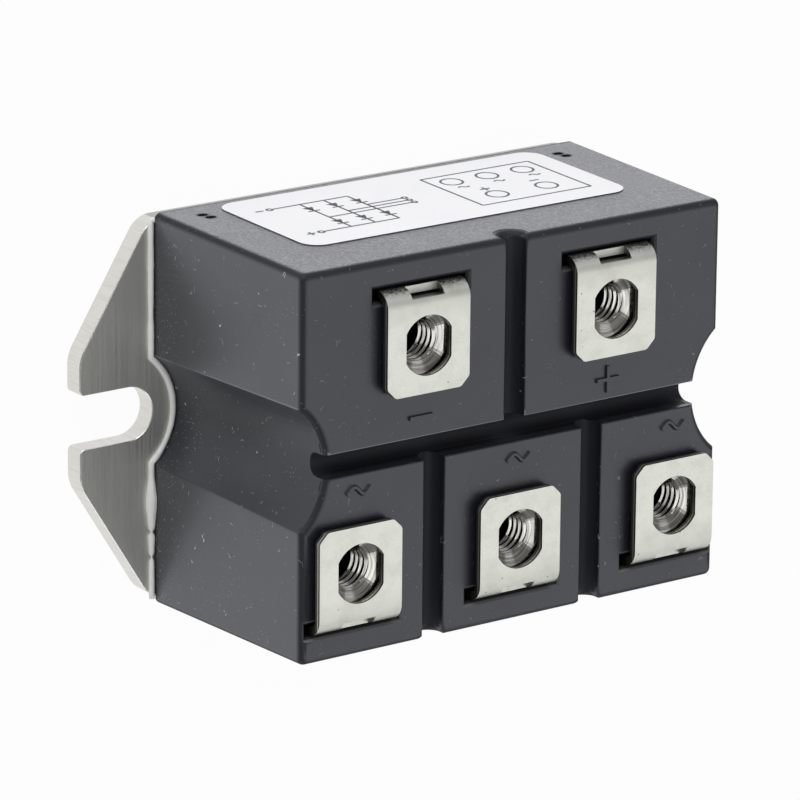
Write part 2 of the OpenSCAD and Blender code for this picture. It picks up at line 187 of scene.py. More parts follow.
class ModuleStudio(bpy.types.PropertyGroup):
    """Camera and light."""

    place: FloatVectorProperty(
        name="Camera place", description="Where the camera stands", subtype="TRANSLATION", unit="LENGTH",
        default=(-0.35846, 0.18681, 0.51043),
    )
    aim: FloatVectorProperty(
        name="Camera aim", description="The point in the middle of the picture", subtype="TRANSLATION",
        unit="LENGTH", default=(-0.0031, -0.0003, 0.0131),
    )
    roll: FloatProperty(
        name="Camera roll", description="Turn of the camera about its line of sight", subtype="ANGLE",
        default=math.radians(112.81),
    )
    lens: FloatProperty(
        name="Lens", description="Focal length on a 36 mm sensor", unit="CAMERA", default=274.93
    )
    world: FloatProperty(name="World", description="Strength of the even light", default=0.22, min=0)
    key: power("Key", "Power of the light over the label side", 10.7)
    front: power("Front", "Power of the light before the terminals", 2.05)
    side: power("Side", "Power of the light beyond the DC row", 0.75)
    top: power("Top", "Power of the light overhead", 3.4)
    low: power("Low", "Power of the low light before the AC row", 0.9)
    left: power("Left", "Power of the low light beside the left end", 2.0)
    floor_reach: length("Floor reach", "Half the side of the floor", 3000.0)
    floor_gap: length(
        "Floor gap", "How far the floor lies under the plate, so that the two don't coincide", 0.02
    )
    bead_seed: IntProperty(name="Seed", description="Start of the bead's irregular width", default=3)


def sizes():
    return bpy.context.scene.module_sizes


def colours():
    return bpy.context.scene.module_colours


def studio():
    return bpy.context.scene.module_studio


# Meshes


def middle(node):
    """The middle of a CAD node's box."""
    return sum(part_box(node), Vector()) / 2


def merged_copy(node):
    """A bmesh of a CAD node with its loose triangles merged into flat faces."""
    bm = bmesh.new()
    bm.from_mesh(NODES[node].data)
    bmesh.ops.remove_doubles(bm, verts=bm.verts, dist=0.001 * MM)
    bmesh.ops.dissolve_limit(bm, angle_limit=math.radians(0.3), verts=bm.verts, edges=bm.edges)
    return bm


def sharp_edges(bm, degrees):
    """The edges whose faces meet at more than an angle."""
    return [e for e in bm.edges if e.is_manifold and e.calc_face_angle() > math.radians(degrees)]


def rise(edge):
    """How far an edge climbs."""
    return abs(edge.verts[0].co.z - edge.verts[1].co.z)


def round_edges(bm, edges, width, segments):
    """Bevels edges to a round."""
    bmesh.ops.bevel(
        bm, geom=edges, offset=width, offset_type="OFFSET", segments=segments, profile=0.5,
        affect="EDGES", material=-1, clamp_overlap=True,
    )


def to_object(bm, name):
    mesh = bpy.data.meshes.new(name)
    bm.to_mesh(mesh)
    bm.free()
    item = bpy.data.objects.new(name, mesh)
    bpy.context.scene.collection.objects.link(item)
    return item


def cut(bm, tool):
    """The bmesh with another one cut out of it."""
    body, cutter = to_object(bm, "body"), to_object(tool, "cutter")
    step = body.modifiers.new("Cut", "BOOLEAN")
    step.operation = "DIFFERENCE"
    step.solver = "EXACT"
    step.use_self = True
    step.object = cutter
    graph = bpy.context.evaluated_depsgraph_get()
    left = bmesh.new()
    left.from_mesh(body.evaluated_get(graph).to_mesh())
    for item in (body, cutter):
        mesh = item.data
        bpy.data.objects.remove(item)
        bpy.data.meshes.remove(mesh)
    bmesh.ops.remove_doubles(left, verts=left.verts, dist=0.0005 * MM)
    if not left.faces:
        raise RuntimeError("a cut left nothing")
    return left


def piece(bm, name, materials, replaced=(), crease=20):
    """Makes a finished piece of a bmesh, smooth between its creases, that stands for its CAD nodes."""
    item = to_object(bm, name)
    for material in materials:
        item.data.materials.append(material)
    item.data.shade_smooth()
    item.data.set_sharp_from_angle(angle=math.radians(crease))
    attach(item, "root")
    if replaced:
        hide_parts(*replaced)
    return item


def weigh_normals(item):
    """Large faces keep flat shading beside their rounded edges."""
    step = item.modifiers.new("Weighted normals", "WEIGHTED_NORMAL")
    step.keep_sharp = True
    step.weight = 80


def quarter_turn(steps):
    """Angles through a right angle."""
    return [math.radians(90 * i / steps) for i in range(steps + 1)]


def closed_line(bm, spots):
    """The points and edges of a closed line."""
    verts = [bm.verts.new(spot) for spot in spots]
    return verts, [bm.edges.new((verts[i - 1], verts[i])) for i in range(len(verts))]


def stroke(bm, path, foot, top, height, place, steps=1):
    """A bar along path(0 to 1) in the plane of place, with its widths at the foot and at the top."""
    bar = bmesh.ops.create_grid(bm, x_segments=steps, y_segments=1, size=0.5)["verts"]
    faces = list({f for v in bar for f in v.link_faces})
    made = bmesh.ops.extrude_face_region(bm, geom=faces)["geom"]
    lifted = {v for v in made if isinstance(v, bmesh.types.BMVert)}
    reach = 0.01
    for v in (*bar, *lifted):
        t, side = v.co.x + 0.5, 1 if v.co.y > 0 else -1
        ahead, behind = path(min(t + reach, 1)), path(max(t - reach, 0))
        across = Vector((behind.y - ahead.y, ahead.x - behind.x)).normalized()
        spot = path(t) + across * side * (top if v in lifted else foot) / 2
        v.co = place @ Vector((spot.x, spot.y, height if v in lifted else 0))


def straight(start, end):
    """The path of a straight stroke."""
    start, end = Vector(start), Vector(end)
    return lambda t: start.lerp(end, t)


def wave(centre, reach, swing, tail=0.0):
    """The path of one wave, as in the sign for alternating current, run on by a tail at both ends."""
    centre = Vector(centre)

    def spot(t):
        turn = math.tau * (t + (2 * t - 1) * tail)
        return centre + Vector(((t - 0.5) * reach, swing * math.sin(turn)))

    return spot


def all_outwards(bm):
    """Turns all faces outwards."""
    bmesh.ops.recalc_face_normals(bm, faces=bm.faces)


# Materials


def add_node(tree, kind, settings=None, *numbered, **named):
    """Adds a node with its settings. Its numbered and named inputs each get a value, or a link from a socket
    or from the first output of a node, and From and To give both ends of a range."""
    node = tree.nodes.new("ShaderNode" + kind)
    for key, value in (settings or {}).items():
        setattr(node, key, value)
    for key in [key for key in ("From", "To") if key in named]:
        named[key + "_Min"], named[key + "_Max"] = named.pop(key)
    given = list(zip(node.inputs, numbered))
    for key, value in named.items():
        label = key.replace("_", " ")
        given.append((next(i for i in node.inputs if i.enabled and i.name == label), value))
    for socket, value in given:
        if isinstance(value, bpy.types.Node):
            value = next(o for o in value.outputs if o.enabled)
        if isinstance(value, bpy.types.NodeSocket):
            tree.links.new(value, socket)
        else:
            socket.default_value = value
    return node


def new_material(name):
    """A material, the function that adds its nodes, and the piece's own coordinates in millimetres."""
    material = bpy.data.materials.new(name)
    material.use_nodes = True
    material.node_tree.nodes.clear()
    add = partial(add_node, material.node_tree)
    place = add("TexCoord").outputs["Object"]
    in_mm = add("Mapping", {"vector_type": "POINT"}, Vector=place, Scale=(1 / MM, 1 / MM, 1 / MM))
    return material, add, in_mm


def shade(add, **inputs):
    """The principled shader and the output."""
    add("OutputMaterial", Surface=add("BsdfPrincipled", **inputs))


def scaled(tint, share):
    """A colour with its red, green and blue times a share."""
    return tuple(share * c for c in tint[:3]) + (1.0,)


def flatness(add, normal):
    """The largest part of a normal: 1 on a face square to an axis, and less on a round."""
    x, y, z = add("SeparateXYZ", Vector=add("VectorMath", ABSOLUTE, normal)).outputs
    return add("Math", MAXIMUM, add("Math", MAXIMUM, x, y), z)


def recess_gap(add, across, spot):
    """How far a point lies from the wall of the nearer screw recess, in millimetres."""
    s = sizes()
    arm = add("CombineXYZ", X=add("Math", SUBTRACT, across, s.recess_x / MM), Y=spot[1])
    radii = s.recess_foot_r / MM, s.recess_face_r / MM
    cone = add("MapRange", Value=spot[2], From=(FOOT_Z / MM, FACE_Z / MM), To=radii)
    return add("Math", ABSOLUTE, add("Math", SUBTRACT, add("VectorMath", LENGTH, arm), cone))


def specks_and_fibres(add, mm, height):
    """How much dust there is: specks in drifts, most of them low down, and short curled fibres."""
    speck_mm, drift_mm, curl_mm, patch_mm = 0.32258, 4.0, 1.33333, 0.90909
    specks = add("TexVoronoi", {"feature": "F1"}, Vector=mm, Scale=1 / speck_mm, Randomness=1.0)
    near = add("MapRange", Value=specks, From=(0.14, 0.08))
    drift = add("TexNoise", Vector=mm, Scale=1 / drift_mm, Detail=2.0)
    low = add("MapRange", Value=height, From=(9.0, 3.0), To=(0, 0.28))
    thick = add("MapRange", Value=add("Math", ADD, drift, low), From=(0.54, 0.66))
    curl = add("TexNoise", Vector=mm, Scale=1 / curl_mm, Detail=1.0)
    away = add("Math", ABSOLUTE, add("Math", SUBTRACT, curl, 0.5))
    thin = add("MapRange", Value=away, From=(0.009, 0.003))
    patches = add("TexNoise", Vector=mm, Scale=1 / patch_mm, Detail=1.0)
    bits = add("MapRange", Value=patches, From=(0.66, 0.69))
    return add("Math", MAXIMUM, add("Math", MULTIPLY, near, thick), add("Math", MULTIPLY, thin, bits))


def moulded_thermoplastic():
    """Glass-filled thermoplastic from a spark-eroded mould: nearly black with a fine even grain, whose crests
    on the long sides are painted pale as glints, a resin-rich skin that shines on the flat walls and is thin
    on the rounds, painted highlights along some edges, and specks and fibres of dust that cling to the ends."""
    material, add, mm = new_material("moulded_thermoplastic")
    # The real grain is too fine to show in the render, so it is drawn coarser
    grain_mm, peak_mm, mottle_mm = 0.185, 0.24, 6.0
    ease_mm, recess_skin, groove_skin = 0.8, 0.55, 0.12
    face_mm, highlight_mm = FACE_Z / MM, sizes().highlight_w / MM
    grain = add("TexNoise", Vector=mm, Scale=1 / grain_mm, Detail=2.0, Roughness=0.6)
    peaks = add("TexNoise", Vector=mm, Scale=1 / peak_mm, Detail=2.0, Roughness=0.6)
    mottle = add("TexNoise", Vector=mm, Scale=1 / mottle_mm, Detail=3.0)
    normal = add("TexCoord").outputs["Normal"]
    facing = add("SeparateXYZ", Vector=normal).outputs
    spot = add("SeparateXYZ", Vector=mm).outputs
    endways, sideways, upwards = (add("Math", ABSOLUTE, part) for part in facing)
    across, off_middle = (add("Math", ABSOLUTE, part) for part in (spot[0], spot[1]))
    gap = recess_gap(add, across, spot)

    # Where a point lies, in millimetres, and how its face is turned
    to_end = add("MapRange", Value=across, From=(24.5, 25.5))
    outside = add("MapRange", Value=off_middle, From=(19.0, 20.0))
    off_recess = add("MapRange", Value=gap, From=(1.2, 1.6))
    lower = add("MapRange", Value=spot[1], From=(-0.5, -1.0))
    upper = add("Math", SUBTRACT, 1.0, lower)
    on_end = add("MapRange", Value=endways, From=(0.95, 0.99))
    beside = add("MapRange", Value=off_middle, From=(4.8, 5.0))
    end_face = add("Math", MULTIPLY, on_end, beside)
    not_end = add("Math", SUBTRACT, 1.0, end_face)
    at_wall = add("MapRange", Value=gap, From=(0.5, 0.3))
    upright = add("MapRange", Value=upwards, From=(0.35, 0.2))
    wall = add("Math", MULTIPLY, at_wall, upright)
    in_recess = add("Math", MULTIPLY, wall, not_end)
    sunk = add("MapRange", Value=spot[2], From=(face_mm - 0.5, face_mm - 0.9))
    inner_x = add("MapRange", Value=across, From=(26.2, 25.8))
    inner_y = add("MapRange", Value=off_middle, From=(20.3, 19.8))
    off_wall = add("Math", SUBTRACT, add("Math", MULTIPLY, inner_x, inner_y), wall)
    in_groove = add("Math", MULTIPLY | CLAMPED, sunk, off_wall)
    in_open = add("Math", SUBTRACT, 1.0, in_groove)

    # The skin is thin on rounds, over a wider band at the outer edges, and in the recesses and the grooves
    outer = add("Math", MAXIMUM, to_end, outside)
    ease = add("Math", MULTIPLY, outer, add("Math", MAXIMUM, off_recess, lower))
    as_made = flatness(add, normal)
    eased = flatness(add, add("Bevel", {"samples": 8}, Radius=ease_mm * MM))
    flat = add("Mix", OF_NUMBERS, Factor=ease, A=as_made, B=eased)
    flat_skin = add("MapRange", Value=flat, From=(0.86, 0.995), To=(0.1, 1.0))
    shiny = add("Mix", OF_NUMBERS, Factor=in_recess, A=flat_skin, B=recess_skin)
    skin = add("Mix", OF_NUMBERS, Factor=in_groove, A=shiny, B=groove_skin)

    # Painted highlights: a patchy pale line over each recess's upper edge, and on the row groove's upper lip
    at_edge = add("MapRange", Value=gap, From=(highlight_mm, 0.4 * highlight_mm))
    patchy = add("MapRange", Value=mottle, From=(0.35, 0.65), To=(0, 0.75))
    highlight_line = add("Math", MULTIPLY, at_edge, end_face)
    pale_highlight = add("Math", MULTIPLY, highlight_line, add("Math", MULTIPLY, patchy, upper))
    downwards = add("MapRange", Value=facing[1], From=(-0.12, -0.3))
    by_row = add("MapRange", Value=off_middle, From=(2.0, 1.9))
    near_face = add("MapRange", Value=spot[2], From=(face_mm - 0.4, face_mm - 0.3))
    row_lip_highlight = add("Math", MULTIPLY, add("Math", MULTIPLY, downwards, by_row), near_face)
    # All the painted highlights together
    edges = add("Math", MAXIMUM, pale_highlight, row_lip_highlight)

    # Dust, most of it on the ends and none in the grooves
    ends = add("MapRange", Value=endways, From=(0.4, 0.9), To=(0.32, 0.95))
    held = add("Math", MULTIPLY, ends, in_open)
    dust = add("Math", MULTIPLY, specks_and_fibres(add, mm, spot[2]), held)

    c = colours()
    tone = add("MapRange", Value=grain, From=(0.3, 0.7))
    smooth = add("Mix", OF_COLOURS, Factor=tone, A=scaled(c.housing, 0.8), B=scaled(c.housing, 1.25))
    # Painted glints: the crests of the grain on the long sides take a pale colour
    points = add("MapRange", Value=peaks, From=(0.44, 0.62))
    crests = add("MapRange", Value=sideways, From=(0.9, 0.99))
    painted_glints = add("Math", MULTIPLY, points, add("Math", MULTIPLY, outside, crests))
    plastic = add("Mix", OF_COLOURS, Factor=painted_glints, A=smooth, B=c.grain)
    highlighted = add("Mix", OF_COLOURS, Factor=edges, A=plastic, B=c.edge_highlight)
    dusty = add("Mix", OF_COLOURS, Factor=dust, A=highlighted, B=c.dust)
    worn = add("MapRange", Value=mottle, From=(0.3, 0.7), To=(0, 0.06))
    rough = add("MapRange", Value=grain, From=(0.3, 0.7), To=(0.32, 0.5))
    dull = add("MapRange", Value=skin, From=(1.0, 0.1), To=(0, 0.35))
    rougher = add("Math", ADD, rough, add("Math", ADD, worn, dull))
    coarse = add("MapRange", Value=sideways, From=(0.7, 0.98), To=(0.3, 1.0))
    relief = add("Bump", Strength=coarse, Distance=0.06 * MM, Height=grain)
    gloss = add("Bump", Strength=coarse, Distance=0.025 * MM, Height=grain)
    shade(
        add, Base_Color=dusty, Roughness=rougher, IOR=1.5, Normal=relief, Specular_Tint=c.shine,
        Coat_Weight=skin, Coat_Roughness=0.29, Coat_Tint=c.skin, Coat_Normal=gloss,
    )
    return material


def slot_lip_painted_light():
    """The chamfers round the strips' slots, in painted light: a pale, mottled painted highlight, painted
    shade at their foot where they meet the slot, and darker painted shade on the DC row."""
    material, add, mm = new_material("slot_lip_painted_light")
    mottle_mm, face_mm = 0.4, FACE_Z / MM
    mottle = add("TexNoise", Vector=mm, Scale=1 / mottle_mm, Detail=4.0)
    spot = add("SeparateXYZ", Vector=mm).outputs
    # Painted shade: the DC row's chamfers are darkened
    dc_shade = add("MapRange", Value=spot[1], From=(-1.0, 1.0))
    # Painted shade at the chamfers' foot, where they meet the slot
    foot = add("MapRange", Value=spot[2], From=(face_mm - 0.2, face_mm - 0.26))
    base = colours().lip
    pale_highlight = add("Mix", OF_COLOURS, Factor=mottle, A=base, B=scaled(base, 0.7))
    rim = add("Mix", OF_COLOURS, Factor=dc_shade, A=pale_highlight, B=scaled(base, 0.3))
    foot_shaded = add("Mix", OF_COLOURS, Factor=foot, A=rim, B=scaled(base, 0.06))
    shade(add, Base_Color=foot_shaded, Roughness=0.5)
    return material


def streaked(add, mm, spans, detail=3.0):
    """A noise drawn out in streaks, by its size along X, Y and Z in millimetres."""
    lie = add("Mapping", Vector=mm, Scale=[1 / span for span in spans])
    return add("TexNoise", Vector=lie, Scale=1.0, Detail=detail)


def shade_metal(add, tone, pattern, rough, strength, depth_mm):
    """A metal's shader, with a roughness and a relief that follow a pattern."""
    roughness = add("MapRange", Value=pattern, From=(0.3, 0.7), To=rough)
    relief = add("Bump", Strength=strength, Distance=depth_mm * MM, Height=pattern)
    shade(add, Base_Color=tone, Metallic=1.0, Roughness=roughness, Normal=relief)


def brushed_nickel():
    """Nickel over rolled copper: fine brush lines along the plate's width and a soft, slightly warm shine."""
    material, add, mm = new_material("brushed_nickel")
    # Real brush lines are too fine to show in the render, so they are drawn coarser
    line_mm, run_mm, stain_mm = 0.12, 14.0, 5.0
    contrast, shift, stain_share = 1.6, -0.6, 0.5
    lines = streaked(add, mm, (line_mm, run_mm, line_mm))
    stains = add("TexNoise", Vector=mm, Scale=1 / stain_mm, Detail=5.0, Roughness=0.6)
    base = colours().nickel
    streaks = add("Math", MULTIPLY_ADD, lines, contrast, shift)
    blend = add("Math", MULTIPLY_ADD | CLAMPED, stains, stain_share, streaks)
    tone = add("Mix", OF_COLOURS, Factor=blend, A=base, B=scaled(base, 0.78))
    shade_metal(add, tone, lines, rough=(0.36, 0.6), strength=0.15, depth_mm=0.005)
    return material


def stamped_edge():
    """The plate's punched edges: bright, with fine upright streaks left by the die."""
    material, add, mm = new_material("stamped_edge")
    # Real streaks are too fine to show in the render, so they are drawn coarser
    streak_mm, run_mm = 0.2, 4.0
    streaks = streaked(add, mm, (streak_mm, streak_mm, run_mm))
    base = colours().edge
    dull = add("MapRange", Value=streaks, From=(0.4, 0.75))
    tone = add("Mix", OF_COLOURS, Factor=dull, A=base, B=scaled(base, 0.9))
    shade_metal(add, tone, streaks, rough=(0.26, 0.34), strength=0.06, depth_mm=0.01)
    return material


def matt_nickel():
    """Nickel-plated strip, smooth and a little warm, with faint stains and dark pin pricks from handling,
    dull where it was bent, and speckled painted shade on the bend, darker as it curls down towards the slot."""
    material, add, mm = new_material("matt_nickel")
    # The plating's real tooth is too fine to show in the render, so it is drawn coarser
    stain_mm, tooth_mm, prick_mm = 2.5, 0.25, 1.7
    contrast, shift = 2.0, -0.25
    stains = add("TexNoise", Vector=mm, Scale=1 / stain_mm, Detail=8.0, Roughness=0.65)
    tooth = add("TexNoise", Vector=mm, Scale=1 / tooth_mm, Detail=3.0)
    pricks = add("TexVoronoi", {"feature": "F1"}, Vector=mm, Scale=1 / prick_mm)
    facing_up = add("SeparateXYZ", Vector=add("TexCoord").outputs["Normal"]).outputs[2]
    off_middle = add("Math", ABSOLUTE, add("SeparateXYZ", Vector=mm).outputs[1])
    base = colours().strip
    tone = add("MapRange", Value=stains, From=(0.45, 0.72))
    clean = add("Mix", OF_COLOURS, Factor=tone, A=base, B=scaled(base, 0.86))
    # Painted shade: the bend darkens, speckled, as its face turns from level to upright
    bend = add("MapRange", Value=facing_up, From=(0.85, 0.45))
    ragged = add("Math", MULTIPLY_ADD | CLAMPED, tooth, contrast, shift)
    bend_shade = add("Math", MULTIPLY, bend, ragged)
    bent = add("Mix", OF_COLOURS, Factor=bend_shade, A=clean, B=scaled(base, 0.06))
    prick = add("MapRange", Value=pricks, From=(0.07, 0.04))
    metal = add("Mix", OF_COLOURS, Factor=prick, A=bent, B=scaled(base, 0.35))
    rough = add("MapRange", Value=tooth, From=(0.3, 0.7), To=(0.26, 0.34))
    strained = add("MapRange", Value=off_middle, From=(13.6, 16.0), To=(0, 0.17))
    relief = add("Bump", Strength=0.15, Distance=0.01 * MM, Height=tooth)
    duller = add("Math", ADD, rough, strained)
    shade(add, Base_Color=metal, Metallic=1.0, Roughness=duller, Normal=relief)
    return material


def sheared_nickel():
    """The strip's cut edge: torn dark at both faces, with a bright burnished line between."""
    material, add, mm = new_material("sheared_nickel")
    # Real tear marks are too fine to show in the render, so they are drawn coarser
    streak_mm, run_mm, thickness, streak_share = 0.1, 1.66667, 0.8, 0.2
    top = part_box(TERMINALS[0])[1].z / MM
    streaks = streaked(add, mm, (streak_mm, streak_mm, run_mm))
    height = add("SeparateXYZ", Vector=mm).outputs[2]
    level = add("MapRange", Value=height, From=(top - thickness, top))
    bands = add("ValToRGB", Fac=add("Math", MULTIPLY_ADD, streaks, streak_share, level))
    bright = colours().sheared
    torn = scaled(bright, 0.16)
    ramp = bands.color_ramp.elements
    ramp[0].position, ramp[0].color = 0.45, torn
    ramp[1].position, ramp[1].color = 0.85, torn
    ramp.new(0.65).color = bright
    relief = add("Bump", Strength=0.4, Distance=0.03 * MM, Height=streaks)
    shade(add, Base_Color=bands, Metallic=1.0, Roughness=0.4, Normal=relief)
    return material


def plated_steel():
    """Turned and plated steel of the nuts: smooth, with fine marks from the tap and the lathe."""
    material, add, mm = new_material("plated_steel")
    # Real lathe marks are too fine to show in the render, so they are drawn coarser
    mark_mm, turn_mm, run_mm = 0.5, 0.1, 3.33333
    marks = add("TexNoise", Vector=mm, Scale=1 / mark_mm, Detail=4.0)
    turned = streaked(add, mm, (run_mm, run_mm, turn_mm), detail=2.0)
    base = colours().nut
    dull = add("MapRange", Value=turned, From=(0.35, 0.65))
    tone = add("Mix", OF_COLOURS, Factor=dull, A=base, B=scaled(base, 0.42))
    shade_metal(add, tone, marks, rough=(0.1, 0.18), strength=0.1, depth_mm=0.01)
    return material


def silicone_rubber():
    """Cured silicone, squeezed out under the housing: pale, slightly translucent and satin."""
    material, add, mm = new_material("silicone_rubber")
    cloud_mm = 1.5
    cloud = add("TexNoise", Vector=mm, Scale=1 / cloud_mm, Detail=3.0)
    base = colours().silicone
    tone = add("Mix", OF_COLOURS, Factor=cloud, A=base, B=scaled(base, 0.82))
    shade(
        add, Base_Color=tone, Roughness=0.42, IOR=1.41, Subsurface_Weight=0.15,
        Subsurface_Radius=(0.6, 0.6, 0.6), Subsurface_Scale=0.5 * MM,
    )
    return material


def label_film():
    """White polyester film with a satin face and a faint print grain."""
    material, add, mm = new_material("label_film")
    # The real print grain is too fine to show in the render, so it is drawn coarser
    cloud_mm, tooth_mm = 7.0, 0.2
    cloud = add("TexNoise", Vector=mm, Scale=1 / cloud_mm, Detail=3.0)
    tooth = add("TexNoise", Vector=mm, Scale=1 / tooth_mm, Detail=2.0)
    base = colours().film
    tone = add("Mix", OF_COLOURS, Factor=cloud, A=base, B=scaled(base, 0.95))
    relief = add("Bump", Strength=0.06, Distance=0.01 * MM, Height=tooth)
    shade(add, Base_Color=tone, Roughness=0.45, IOR=1.5, Normal=relief)
    return material


def speckled(name, base, roughness, grain_mm, metallic=0.0, depth=0.85):
    """A plain finish with a fine mottle, for the parts inside the housing and small dull or printed areas."""
    material, add, mm = new_material(name)
    mottle = add("TexNoise", Vector=mm, Scale=1 / grain_mm, Detail=4.0)
    tone = add("Mix", OF_COLOURS, Factor=mottle, A=base, B=scaled(base, depth))
    shade(add, Base_Color=tone, Metallic=metallic, Roughness=roughness)
    return material


# Pieces


class MODULE_OT_housing(bpy.types.Operator):
    """Rounds the recess rims of the housing and raises the signs on the terminal face"""

    bl_idname = "module.housing"
    bl_label = "Housing"

    def execute(self, context):
        bm = merged_copy("housing")
        tool = bmesh.new()
        for side in (-1, 1):
            self.add_rim(tool, side * sizes().recess_x)
        ac_1, ac_2, ac_3 = (middle(node).x for node in AC_NUTS)
        for x, side in ((0, 1), ((ac_1 + ac_2) / 2, -1), ((ac_2 + ac_3) / 2, -1)):
            turn = Matrix.Rotation(math.pi / 2 * side, 4, "Z")
            self.add_mouth(tool, Matrix.Translation((x, 0, FACE_Z)) @ turn)
        self.add_pips(tool)
        all_outwards(tool)
        bm = cut(bm, tool)
        bmesh.ops.dissolve_limit(bm, angle_limit=math.radians(0.2), verts=bm.verts, edges=bm.edges)
        for face in bm.faces:
            face.material_index = 1 if self.is_lip(face) else 0
        plastic = moulded_thermoplastic()
        item = piece(bm, "moulded_housing", [plastic, slot_lip_painted_light()], ["housing"])
        weigh_normals(item)
        signs = bmesh.new()
        self.add_signs(signs)
        all_outwards(signs)
        piece(signs, "raised_signs", [plastic])
        return {"FINISHED"}

    def is_lip(self, face):
        """Whether a face is on the chamfer round the mouth of a strip's slot."""
        spot, out = face.calc_center_median(), face.normal
        depth, inner, outer, steep, shallow = 0.5 * MM, 15 * MM, 19 * MM, 0.6, 0.8
        in_slot = FACE_Z - depth < spot.z < FACE_Z and inner < abs(spot.y) < outer
        return in_slot and steep < out.z < shallow

    def add_rim(self, tool, x):
        """A ring whose inside is the quarter round of a recess rim."""
        s, past, overlap = sizes(), 0.5 * MM, 0.01 * MM
        rim = s.rim_r
        lean = (s.recess_face_r - s.recess_foot_r) / (FACE_Z - FOOT_Z)
        r = s.recess_face_r - lean * rim - overlap
        points = [
            (r + rim * (1 - math.cos(a)), FACE_Z - rim + rim * math.sin(a)) for a in quarter_turn(8)
        ]
        points += [(r + rim, FACE_Z + past), (r - past, FACE_Z + past), (r - past, FACE_Z - rim)]
        verts, edges = closed_line(tool, [(x + across, 0, z) for across, z in points])
        bmesh.ops.spin(
            tool, geom=verts + edges, cent=(x, 0, 0), axis=(0, 0, 1), angle=math.tau, steps=128,
            use_merge=True,
        )

    def add_mouth(self, tool, place):
        """A trumpet that rounds the mouth of a cross groove, which runs along the place's X."""
        s, past, overlap = sizes(), 1.0 * MM, 0.005 * MM
        wall = FOOT_SIDE - DRAFT
        sections = [(wall + past, s.mouth_r)]
        for a in reversed(quarter_turn(6)):
            sections.append((wall - s.mouth_r * (1 - math.sin(a)), s.mouth_r * (1 - math.cos(a)) - overlap))
        rings = []
        for along, grow in sections:
            half, deep, r = s.groove_w / 2 + grow, s.groove_d + grow, s.groove_floor_r + grow
            flank = [(half, past)]
            flank += [(half - r + r * math.cos(a), r - deep - r * math.sin(a)) for a in quarter_turn(8)]
            outline = flank + [(-u, w) for u, w in reversed(flank)]
            rings.append(closed_line(tool, [place @ Vector((along, u, w)) for u, w in outline])[1])
        for ring, following in zip(rings, rings[1:]):
            bmesh.ops.bridge_loops(tool, edges=ring + following)
        for ring in (rings[0], rings[-1]):
            bmesh.ops.holes_fill(tool, edges=ring, sides=0)

    def add_signs(self, bm):
        """Minus, plus and three waves: raised bars with drafted sides that stand a little in the face."""
        s, sunk, wave_steps = sizes(), 0.05 * MM, 32
        place = Matrix.Translation((0, 0, FACE_Z - sunk))
        height = s.sign_height + sunk
        bar_foot, bar_top, wave_foot, wave_top = (share * s.sign_stroke for share in (1.25, 0.85, 1.5, 0.65))
        minus_x, plus_x = (middle(node).x for node in NUTS[:2])
        half, y = s.sign_length / 2, s.dc_sign_y
        bars = [
            ((minus_x - half, y), (minus_x + half, y)),
            ((plus_x - half, y), (plus_x + half, y)),
            ((plus_x, y - half), (plus_x, y - bar_top / 2)),
            ((plus_x, y + bar_top / 2), (plus_x, y + half)),
        ]
        for start, end in bars:
            stroke(bm, straight(start, end), bar_foot, bar_top, height, place)
        for node in AC_NUTS:
            spot = middle(node).x + s.wave_off, s.ac_sign_y
            path = wave(spot, s.wave_length, s.wave_swing, s.wave_tail)
            stroke(bm, path, wave_foot, wave_top, height, place, wave_steps)

    def add_pips(self, tool):
        """Two small ovals near each end of the label side, as a mould's marks."""
        lean = DRAFT / (FACE_Z - FOOT_Z)
        r, half_apart, slant = 0.48 * MM, 0.55, 0.25
        oval = Matrix.Rotation(math.pi / 2, 4, "X") @ Matrix.Diagonal((1.25, 0.95, 1, 1))
        for x, z in ((-22.95, 6.45), (22.45, 6.7)):
            for off in (-half_apart, half_apart):
                height = (z + off) * MM
                spot = ((x + slant * off) * MM, FOOT_SIDE - lean * (height - FOOT_Z), height)
                bmesh.ops.create_cone(
                    tool, cap_ends=True, segments=24, radius1=r, radius2=r, depth=2 * sizes().pip_depth,
                    matrix=Matrix.Translation(spot) @ oval,
                )


class MODULE_OT_base_plate(bpy.types.Operator):
    """Rounds the corners and stamped edges of the base plate"""

    bl_idname = "module.base_plate"
    bl_label = "Base plate"

    def execute(self, context):
        s = sizes()
        bm = merged_copy("base_plate")
        slot_half, dead_square = 4 * MM, 0.99
        ears = [
            e for e in sharp_edges(bm, degrees=20)
            if rise(e) > PLATE_TOP / 2
            and abs(e.verts[0].co.x) > PLATE_END - SLACK and abs(e.verts[0].co.y) > slot_half
        ]
        if len(ears) != 4:
            raise RuntimeError(f"the plate has {len(ears)} ear corners")
        round_edges(bm, ears, s.ear_round, segments=6)
        shoulders = [
            e for e in sharp_edges(bm, degrees=20)
            if rise(e) > PLATE_TOP / 2 and all(abs(v.co.y) > PLATE_SIDE - SLACK for v in e.verts)
        ]
        round_edges(bm, shoulders, s.shoulder_round, segments=5)
        rims = [e for e in sharp_edges(bm, degrees=60) if rise(e) < SLACK]
        round_edges(bm, rims, s.plate_edge, segments=3)
        for face in bm.faces:
            off_middle = abs(face.calc_center_median().y)
            along = abs(face.normal.y) > dead_square and off_middle > PLATE_SIDE - MM
            face.material_index = 2 if along else 0 if abs(face.normal.z) > SQUARE else 1
        # The long sides' nickel is duller, and darker as painted shade under the housing's overhang
        side = speckled(
            "nickel_side_painted_shade", colours().plate_side_shaded, roughness=0.5, grain_mm=0.6, metallic=1.0, depth=0.8
        )
        finishes = [brushed_nickel(), stamped_edge(), side]
        weigh_normals(piece(bm, "nickel_base_plate", finishes, ["base_plate"]))
        return {"FINISHED"}


